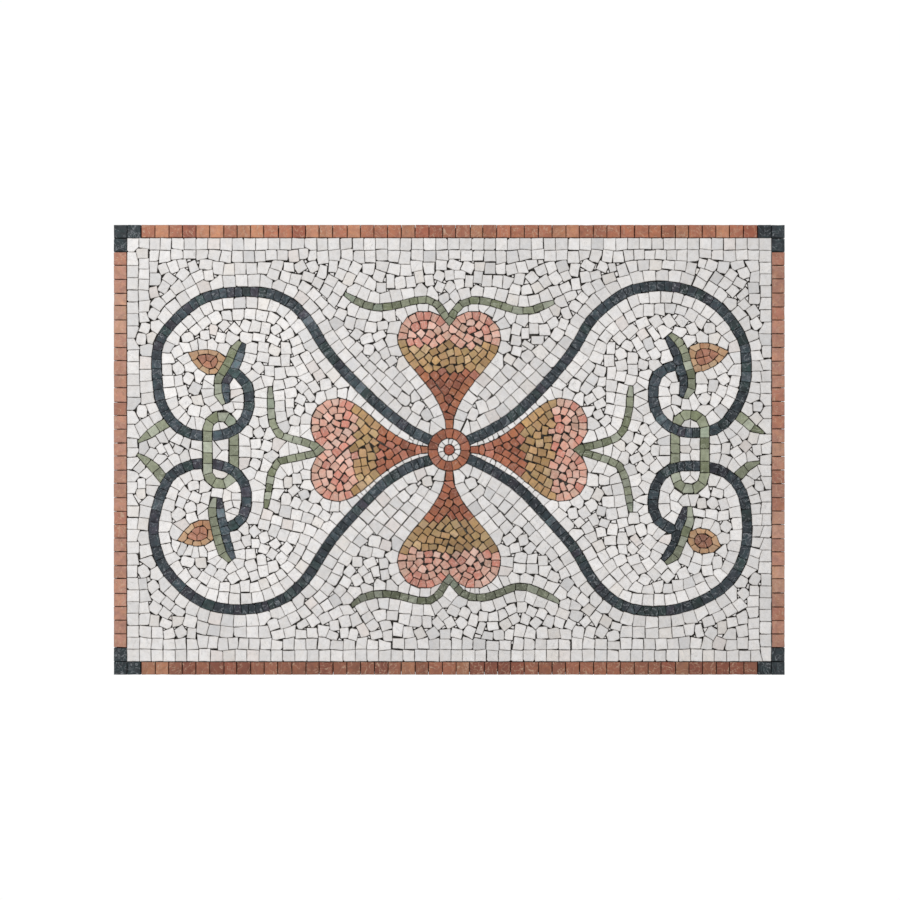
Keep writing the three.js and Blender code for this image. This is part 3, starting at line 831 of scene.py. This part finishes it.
class Body:
    """Gathers the vertices, faces and stone data of one piece."""

    def __init__(self):
        self.places, self.faces, self.colours, self.shifts, self.edges = ([] for _ in range(5))
        self.count = 0

    def add(self, stone):
        in_border = stone["yields"] == BORDER_YIELDS
        if in_border or stone["yields"] == CHIP_YIELDS:
            outline = jagged(stone["outline"], WHOLE_KNOCK, 0)
        else:
            outline = jagged(stone["outline"], KNOCK, CHIPPED_SHARE)
        count = len(outline)
        sink = LOWEST_SINK * chance.random() ** 2
        tilt = chance.normal(0, TILT, 2)
        middle = outline.mean(0)
        depth = STONE_BACK - FACE
        # Each ring: how far inside the outline, how deep, how much painted joint shade it gets, and how
        # rough
        back = ((-BORDER_SPREAD, depth, 1, 0), (-BORDER_SPREAD, WAIST_DEPTH * depth, 1, 0.1))
        rings = (
            *(back if in_border else ((BACK_INSET, depth, 1, 0),)),
            (0, 0.25, 1, 0.08),
            (BEVEL, 0.05, 0.3, 0.04),
            (CROWN_INSET, 0, 0, 0.03),
        )
        first = self.count
        for narrower, deeper, edge, roughness in rings:
            flat = inset(outline, narrower)
            level = FACE + sink + deeper + abs(chance.normal(0, roughness, count))
            if deeper == depth:
                level = np.full(count, STONE_BACK)
            elif deeper < 1:
                slope = (flat - middle) @ tilt
                level = level + slope - slope.min()
            self.ring(flat, np.minimum(level, STONE_BACK), edge)
        self.ring(middle[None], FACE + sink + abs(slope.min()) + CROWN_DIP, 0)
        self.faces.append([first + step for step in range(count)][::-1])
        for number in range(len(rings) - 1):
            below = first + number * count
            above = below + count
            for step in range(count):
                after = (step + 1) % count
                self.faces.append([below + step, below + after, above + after, above + step])
        crown = first + (len(rings) - 1) * count
        for step in range(count):
            self.faces.append([crown + step, crown + (step + 1) % count, self.count - 1])
        added = self.count - first
        self.colours.append(np.tile([*stone_colour(stone), 1], (added, 1)))
        self.shifts.append(np.tile(chance.uniform(-0.5, 0.5, 3), (added, 1)))

    def ring(self, flat, level, edge):
        self.places.append(np.insert(flat, 1, level, 1))
        self.edges += [edge] * len(flat)
        self.count += len(flat)

    def built(self, name, material):
        places = np.clip(np.concatenate(self.places), (LEFT, FACE, FOOT), (RIGHT, 0, TOP))
        piece = new_piece(name, places, self.faces, material)
        for attribute, kind, field, values in (
            ("stone_colour", "FLOAT_COLOR", "color", self.colours),
            ("stone_shift", "FLOAT_VECTOR", "vector", self.shifts),
            ("stone_shade_share", "FLOAT", "value", [self.edges]),
        ):
            data = piece.data.attributes.new(attribute, kind, "POINT").data
            data.foreach_set(field, np.concatenate(values).astype(np.float32).ravel())
        return piece


def new_object(name, data):
    added = bpy.data.objects.new(name, data)
    bpy.context.scene.collection.objects.link(added)
    return added


def new_piece(name, places, faces, material):
    mesh = bpy.data.meshes.new(name)
    mesh.from_pydata((np.array(places) * MM).tolist(), [], faces)
    mesh.materials.append(material)
    mesh.validate()
    return new_object(name, mesh)


# Each marble: its usual colour, how much its stones differ in lightness, and odd stones' colours with
# their share. Colours are display values.
MARBLES = {
    "white": (
        (219, 217, 216), 0.065, ((215, 211, 207, 0.03), (214, 208, 205, 0.02), (207, 206, 206, 0.07))
    ),
    "dark": ((54, 59, 65), 0.2, ((51, 60, 61, 0.18), (56, 54, 62, 0.12), (78, 84, 90, 0.05))),
    "corner": ((46, 51, 55), 0.12, ()),
    "rust": ((156, 92, 67), 0.13, ((166, 104, 86, 0.15), (136, 76, 54, 0.2), (160, 98, 68, 0.15))),
    "ochre": (
        (179, 142, 101), 0.12, ((156, 122, 82, 0.2), (190, 160, 124, 0.14), (168, 138, 98, 0.15))
    ),
    "pink": (
        (203, 160, 143), 0.11, ((216, 182, 168, 0.18), (194, 134, 118, 0.25), (190, 158, 140, 0.1))
    ),
    "green": (
        (124, 129, 107), 0.15, ((150, 155, 138, 0.2), (104, 110, 84, 0.2), (128, 137, 120, 0.07))
    ),
    "bud": ((178, 144, 114), 0.12, ((190, 162, 132, 0.2), (160, 118, 88, 0.15))),
    "core": ((158, 108, 88), 0.14, ()),
    "red": ((148, 74, 54), 0.02, ()),
    "border": ((157, 98, 75), 0.12, ((170, 116, 90, 0.2), (144, 82, 62, 0.25))),
    "pale_border": ((167, 120, 103), 0.08, ((176, 133, 114, 0.2), (158, 106, 88, 0.2))),
}
LIGHTER_THAN_USUAL = 1.3
DARKER_THAN_USUAL = 1.6
COLOUR_LIMITS = (0.003, 0.92)

# Each part of the panel has its marble made lighter or darker by a share; most parts towards the bottom
# are darker.
LIGHTNESS = {
    "border_bottom": 0.73,
    "roundel_ring": 0.82,
    "field_around": 0.96,
    "field_left": 1.04,
    "field_right": 1.05,
    "heart_top_rust": 0.88,
    "heart_top_pink": 0.96,
    "heart_bottom_pink": 0.86,
    "heart_bottom_ochre": 0.87,
    "heart_bottom_rust": 0.9,
    "tendril_top": 0.88,
    "tendril_right": 0.9,
    "tendril_bottom": 0.6,
    "sepal_bottom_left": 0.86,
    "sepal_bottom_right": 0.84,
    "leaf_bottom_right": 0.9,
    "bud_core_bottom_right": 0.7,
    "link_left": 1.13,
    "link_right": 1.1,
    "link_middle_right": 1.1,
    "scroll_top_left": 1.2,
    "scroll_end_top_left": 1.5,
    "scroll_end_top_right": 1.2,
    "scroll_end_bottom_left": 1.5,
    "scroll_bottom_right": 0.85,
    "scroll_end_bottom_right": 0.9,
}


def stone_colour(stone):
    colour, difference, odd = MARBLES[stone["marble"]]
    pick = chance.random()
    for *other, share in odd:
        if pick < share:
            colour = other
            break
        pick -= share
    lightness = 1 + difference * chance.uniform(-DARKER_THAN_USUAL, LIGHTER_THAN_USUAL)
    lightness_here = LIGHTNESS.get(stone["piece"], 1)
    return np.clip(linear(colour) * lightness * lightness_here, *COLOUR_LIMITS)


# Sizes of a marble's pattern, and the painted shade between stones as a share of their colour
CLOUD_SIZE = 4.5
PATCH_SIZE = 6.5
GRAIN_SIZE = 0.7
VEIN_SIZE = 9
# Painted shade: the colours that a stone's sides are darkened towards, down in the open joints
BROWN_JOINT_SHADE = (0.26, 0.21, 0.165)
PALE_JOINT_SHADE = (0.5, 0.46, 0.42)


class Nodes:
    """Short names for building the nodes of a material or a world."""

    def __init__(self, owner, shader="Principled BSDF"):
        self.owner = owner
        owner.use_nodes = True
        self.tree = owner.node_tree
        self.shader = self.tree.nodes[shader]

    def add(self, kind, inputs=(), **settings):
        node = self.tree.nodes.new(kind)
        for key, value in settings.items():
            setattr(node, key, value)
        for key, value in dict(inputs).items():
            self.feed(node.inputs[key], value)
        return node

    def feed(self, socket, value):
        """Links a socket to an output, or gives it a value of its own."""
        if isinstance(value, bpy.types.NodeSocket):
            self.tree.links.new(value, socket)
        else:
            socket.default_value = value

    def place(self, kind="Object"):
        return self.add("ShaderNodeTexCoord").outputs[kind]

    def attribute(self, name, output):
        return self.add("ShaderNodeAttribute", attribute_name=name).outputs[output]

    def noise(self, vector, scale, detail, distortion=0.0):
        inputs = {"Vector": vector, "Scale": scale, "Detail": detail, "Distortion": distortion}
        return self.add("ShaderNodeTexNoise", inputs).outputs["Fac"]

    def ramp(self, value, *stops):
        """A colour ramp from (place, grey) or (place, (r, g, b)) stops."""
        node = self.add("ShaderNodeValToRGB", {"Fac": value})
        while len(node.color_ramp.elements) < len(stops):
            node.color_ramp.elements.new(0.5)
        for element, (place, colour) in zip(node.color_ramp.elements, stops):
            element.position = place
            element.color = (*np.broadcast_to(colour, 3).tolist(), 1)
        return node.outputs["Color"]

    def mix(self, how, factor, first, second):
        node = self.add("ShaderNodeMix", data_type="RGBA", blend_type=how, clamp_result=False)
        for index, value in ((0, factor), (6, first), (7, second)):
            self.feed(node.inputs[index], (*value, 1) if isinstance(value, tuple) else value)
        return node.outputs[2]

    def set(self, socket, value):
        self.feed(self.shader.inputs[socket], value)

    def bump(self, strength, distance, height):
        inputs = {"Strength": strength, "Distance": distance, "Height": height}
        self.set("Normal", self.add("ShaderNodeBump", inputs).outputs["Normal"])


def marble_look(name, clouds, grain, patches, vein, vein_share, roughness, gloss=0.5, joint_shade=BROWN_JOINT_SHADE):
    """A marble with clouds in its lightness, a fine grain, patches of another hue, veins, and painted
    shade down the sides of a stone, where the open joints lie in shadow."""
    nodes = Nodes(bpy.data.materials.new(name))
    place = nodes.place()
    shift = nodes.attribute("stone_shift", "Vector")
    shifted = nodes.add("ShaderNodeVectorMath", {0: place, 1: shift}).outputs[0]
    cloud = nodes.noise(shifted, 1 / (CLOUD_SIZE * MM), 4, 0.6)
    patch = nodes.noise(shifted, 1 / (PATCH_SIZE * MM), 3, 0.9)
    fine = nodes.noise(shifted, 1 / (GRAIN_SIZE * MM), 2)
    colour = nodes.attribute("stone_colour", "Color")
    lighter = nodes.ramp(cloud, (0.25, 1 - clouds), (0.75, 1 + clouds))
    colour = nodes.mix("MULTIPLY", 1.0, colour, lighter)
    lighter = nodes.ramp(fine, (0.3, 1 - grain), (0.7, 1 + grain))
    colour = nodes.mix("MULTIPLY", 1.0, colour, lighter)
    colour = nodes.mix("MULTIPLY", nodes.ramp(patch, (0.44, 0.0), (0.6, 1.0)), colour, patches)
    streak = nodes.noise(shifted, 1 / (VEIN_SIZE * MM), 4, 1.2)
    half = 0.5 * vein_share
    lines = nodes.ramp(streak, (0.5 - half, 0.0), (0.5, 1.0), (0.5 + half, 0.0))
    colour = nodes.mix("MIX", lines, colour, vein)
    # Painted shade: the sides of a stone down in the open joints are darkened as if in shadow
    edge = nodes.ramp(nodes.attribute("stone_shade_share", "Fac"), (0.0, 0.0), (1.0, 0.7))
    colour = nodes.mix("MIX", edge, colour, nodes.mix("MULTIPLY", 1.0, colour, joint_shade))
    nodes.set("Base Color", colour)
    nodes.set("Roughness", nodes.ramp(cloud, (0.3, roughness - 0.06), (0.7, roughness + 0.08)))
    nodes.set("Specular IOR Level", gloss)
    heights = [nodes.ramp(value, (0.2, 0.0), (0.8, 1.0)) for value in (cloud, fine)]
    nodes.bump(0.35, 0.0002, nodes.mix("MIX", 0.5, *heights))
    return nodes.owner


def adhesive():
    nodes = Nodes(bpy.data.materials.new("adhesive"))
    place = nodes.place()
    patch = nodes.noise(place, 60, 4, 0.4)
    fine = nodes.noise(place, 900, 2)
    colour = nodes.ramp(patch, (0.3, (0.44, 0.42, 0.37)), (0.7, (0.62, 0.6, 0.54)))
    grain = nodes.ramp(fine, (0.3, 0.7), (0.7, 1.1))
    nodes.set("Base Color", nodes.mix("MULTIPLY", 0.5, colour, grain))
    nodes.set("Roughness", nodes.ramp(patch, (0.3, 0.45), (0.7, 0.7)))
    nodes.bump(0.5, 0.0004, fine)
    return nodes.owner


def glass_fibre():
    nodes = Nodes(bpy.data.materials.new("glass_fibre"))
    place = nodes.place()
    strands = nodes.noise(place, 2600, 2, 0.2)
    patch = nodes.noise(place, 90, 2)
    colour = nodes.ramp(strands, (0.3, (0.58, 0.58, 0.55)), (0.7, (0.86, 0.86, 0.83)))
    stain = nodes.ramp(patch, (0.3, 0.75), (0.7, 1.0))
    nodes.set("Base Color", nodes.mix("MULTIPLY", 0.6, colour, stain))
    nodes.set("Roughness", nodes.ramp(patch, (0.3, 0.4), (0.7, 0.6)))
    nodes.bump(0.4, 0.0002, strands)
    return nodes.owner


# Clouds, grain, patches, veins with their share, roughness, and gloss and painted joint shade where
# unusual
LOOKS = {
    "white": (0.08, 0.04, (1.0, 0.985, 0.965), (0.5, 0.49, 0.48), 0.02, 0.5),
    "dark": (0.52, 0.2, (0.86, 1.1, 1.06), (0.22, 0.235, 0.25), 0.03, 0.42, 0.25, PALE_JOINT_SHADE),
    "rust": (0.24, 0.1, (1.08, 1.05, 0.9), (0.5, 0.32, 0.25), 0.02, 0.5),
    "ochre": (0.2, 0.1, (0.98, 0.99, 0.82), (0.3, 0.2, 0.12), 0.03, 0.52),
    "pink": (0.17, 0.08, (1.08, 0.9, 0.86), (0.66, 0.44, 0.36), 0.04, 0.52),
    "green": (0.22, 0.1, (1.12, 1.12, 1.12), (0.34, 0.36, 0.28), 0.03, 0.5),
    "bud": (0.18, 0.1, (1.06, 0.98, 0.84), (0.5, 0.36, 0.22), 0.03, 0.52),
    "border": (0.22, 0.1, (1.05, 1.04, 0.92), (0.48, 0.32, 0.22), 0.03, 0.5),
}
materials = {name: marble_look(name + "_marble", *look) for name, look in LOOKS.items()}
materials["core"] = materials["red"] = materials["rust"]
materials["pale_border"] = materials["border"]
materials["corner"] = materials["dark"]

bodies = {}
for stone in stones:
    bodies.setdefault(stone["piece"], (Body(), stone["marble"]))[0].add(stone)
for name, (body, marble_name) in bodies.items():
    piece = body.built("stones_" + name, materials[marble_name])
    node = "roundel_eye" if name == "centre_stone" else name
    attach(piece, "root")
    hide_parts(node)


# The threads of the mesh and the film of adhesive under them
THREAD_PITCH = 5
THREAD_BREADTH = 0.9
THREAD_DEPTH = 0.34
THREAD_OFFSET = 0.24
THREAD_STEPS = 24
THREAD_WANDER = 0.25
THREAD_TURN = 0.9
THREAD_UNEVENNESS = 0.15
FILM_STEP = 4
FILM_EDGE = 0.8
FILM_GAP = 0.02
FILM_BACK = 0.5
FILM_RELIEF = 0.2


def add_backing():
    """A film of adhesive behind the stones, with two layers of thread that show from the back."""
    film = new_piece("adhesive_film", *film_shape(), adhesive())
    places, faces = [], []
    for axis, low, high, start, end, back in (
        (0, BACKING_LEFT, BACKING_RIGHT, BACKING_FOOT, BACKING_TOP, BACKING_REAR - THREAD_OFFSET),
        (1, BACKING_FOOT, BACKING_TOP, BACKING_LEFT, BACKING_RIGHT, BACKING_REAR),
    ):
        count = int((end - start) // THREAD_PITCH)
        margin = (end - start - (count - 1) * THREAD_PITCH) / 2
        for number in range(count):
            middle = start + margin + number * THREAD_PITCH + chance.normal(0, THREAD_UNEVENNESS)
            add_thread(places, faces, axis, low, high, middle, back)
    threads = new_piece("mesh_threads", places, faces, glass_fibre())
    for piece in (film, threads):
        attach(piece, "root")
        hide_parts("mesh_backing")


def film_shape():
    """A sheet that is flat towards the stones and uneven at the back and round the edge."""
    columns = round((BACKING_RIGHT - BACKING_LEFT) / FILM_STEP) + 1
    rows = round((BACKING_TOP - BACKING_FOOT) / FILM_STEP) + 1
    x = np.linspace(BACKING_LEFT, BACKING_RIGHT, columns)[None].repeat(rows, 0)
    z = np.linspace(BACKING_FOOT, BACKING_TOP, rows)[:, None].repeat(columns, 1)
    rough = chance.normal(0, 1, (rows, columns))
    for axis in (0, 1):
        rough = (np.roll(rough, 1, axis) + 2 * rough + np.roll(rough, -1, axis)) / 4
    rough = np.clip(0.5 + rough, 0, 1)
    x[:, 0] += FILM_EDGE * rough[:, 0]
    x[:, -1] -= FILM_EDGE * rough[:, -1]
    z[0] += FILM_EDGE * rough[0]
    z[-1] -= FILM_EDGE * rough[-1]
    front = np.full(x.shape, STONE_BACK + FILM_GAP)
    back = BACKING_REAR - FILM_BACK - FILM_RELIEF * rough
    places = [np.stack((x, y, z), 2).reshape(-1, 3) for y in (front, back)]
    index = np.arange(rows * columns).reshape(rows, columns)
    sheet = np.stack((index[:-1, :-1], index[:-1, 1:], index[1:, 1:], index[1:, :-1]), 2).reshape(-1, 4)
    around = np.concatenate((index[0], index[1:, -1], index[-1, -2::-1], index[-2:0:-1, 0]))
    after = np.roll(around, -1)
    behind = rows * columns
    rim = np.stack((around, around + behind, after + behind, after), 1)
    return np.concatenate(places), [*sheet.tolist(), *(sheet[:, ::-1] + behind).tolist(), *rim.tolist()]


def add_thread(places, faces, axis, low, high, middle, back):
    """A flat thread with a six-sided section that wanders slightly from side to side."""
    section = ((-1, 0.5), (-0.6, 0), (0.6, 0), (1, 0.5), (0.6, 1), (-0.6, 1))
    first = len(places)
    phase = chance.uniform(0, math.tau)
    for step in range(THREAD_STEPS + 1):
        along = low + (high - low) * step / THREAD_STEPS
        wander = THREAD_WANDER * math.sin(phase + THREAD_TURN * step)
        for side, share in section:
            across = middle + wander + side * THREAD_BREADTH / 2
            flat = (along, across) if axis == 0 else (across, along)
            places.append((flat[0], back - THREAD_DEPTH * (1 - share), flat[1]))
    count = len(section)
    forward = 1 if axis == 0 else -1
    for step in range(THREAD_STEPS):
        ring = first + step * count
        for corner in range(count):
            after = (corner + 1) % count
            face = [ring + corner, ring + after, ring + count + after, ring + count + corner]
            faces.append(face[::-forward])
    faces.append([first + corner for corner in range(count)][::forward])
    last = first + THREAD_STEPS * count
    faces.append([last + corner for corner in range(count)][::-forward])


add_backing()

# The photo's frame in pixels, and the camera, the floor and the light in metres and watts
PHOTO_SIDE = 900
PANEL_WIDTH_IN_PHOTO = 671.1
PANEL_MIDDLE_IN_PHOTO = (449.25, 449.8)
CAMERA_DISTANCE = 2.6
SENSOR = 36
FLOOR_PLACE = (0, -0.35, -0.46)
FLOOR_SCALE = (1.8, 1.2, 1)
LIGHT_PLACE = (-1.1, -1.7, 1.3)
LIGHT_SIZE = 1.1
LIGHT_POWER = 34

pale = Nodes(bpy.data.materials.new("pale_floor"))
spot = pale.noise(pale.place(), 6, 3)
pale.set("Base Color", pale.ramp(spot, (0.3, 0.8), (0.7, 0.84)))
pale.set("Roughness", 0.8)
bpy.ops.mesh.primitive_plane_add(size=1, location=FLOOR_PLACE)
floor = bpy.context.object
floor.name = "floor"
floor.scale = FLOOR_SCALE
floor.data.materials.append(pale.owner)

data = bpy.data.lights.new("key", "AREA")
data.size = LIGHT_SIZE
data.energy = LIGHT_POWER
light = new_object("key", data)
light.location = LIGHT_PLACE
light.rotation_euler = (-light.location).to_track_quat("-Z", "Y").to_euler()

sky = Nodes(bpy.data.worlds.new("studio"), "Background")
bpy.context.scene.world = sky.owner
backwards = sky.add("ShaderNodeSeparateXYZ", {0: sky.place("Generated")}).outputs["Y"]
sky.set("Color", sky.ramp(backwards, (0.3, 0.62), (0.9, 1.02)))
sky.set("Strength", 1)

data = bpy.data.cameras.new("camera")
camera = new_object("camera", data)
bpy.context.scene.camera = camera
pixel = (RIGHT - LEFT) * MM / PANEL_WIDTH_IN_PHOTO
across, down = (PHOTO_SIDE / 2 - np.array(PANEL_MIDDLE_IN_PHOTO)) * pixel
camera.location = (across, -CAMERA_DISTANCE, -down)
camera.rotation_euler = (math.pi / 2, 0, 0)
data.sensor_width = SENSOR
data.lens = SENSOR * (CAMERA_DISTANCE + FACE * MM) / (PHOTO_SIDE * pixel)
bpy.context.scene.view_settings.view_transform = "Standard"
